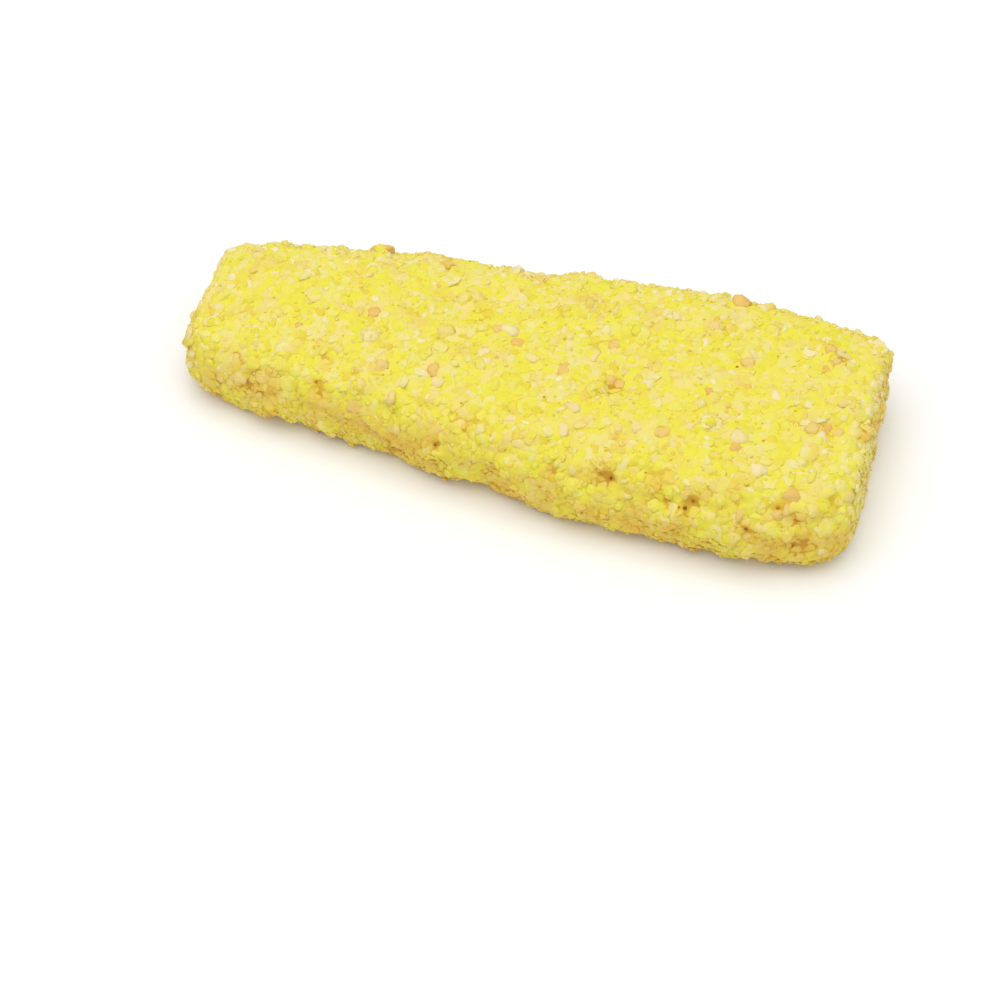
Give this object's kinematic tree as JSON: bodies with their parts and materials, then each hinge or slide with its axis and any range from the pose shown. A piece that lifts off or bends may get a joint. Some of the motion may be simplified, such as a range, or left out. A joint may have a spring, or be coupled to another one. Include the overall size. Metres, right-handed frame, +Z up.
{
  "type": "breaded salmon fish finger",
  "caption": "Long flat bar of breaded salmon fish cake, closed all round by a coarse pale yellow crumb crust with toasted crumbs; lies flat as a portion of a warm meal.",
  "frame": {"origin": "under the middle of the bar, on the plane that it rests on", "axes": "+X along the bar towards its broad end, -Y towards the side with the broken edge, +Z up through the top crust"},
  "size_m": [0.1104, 0.0454, 0.017],
  "materials": {
    "crumb_crust": "coarse dry breadcrumb, pale yellow with toasted crumbs"
  },
  "bodies": {
    "root": {"fish_finger": "crumb_crust"}
  },
  "joints": []
}
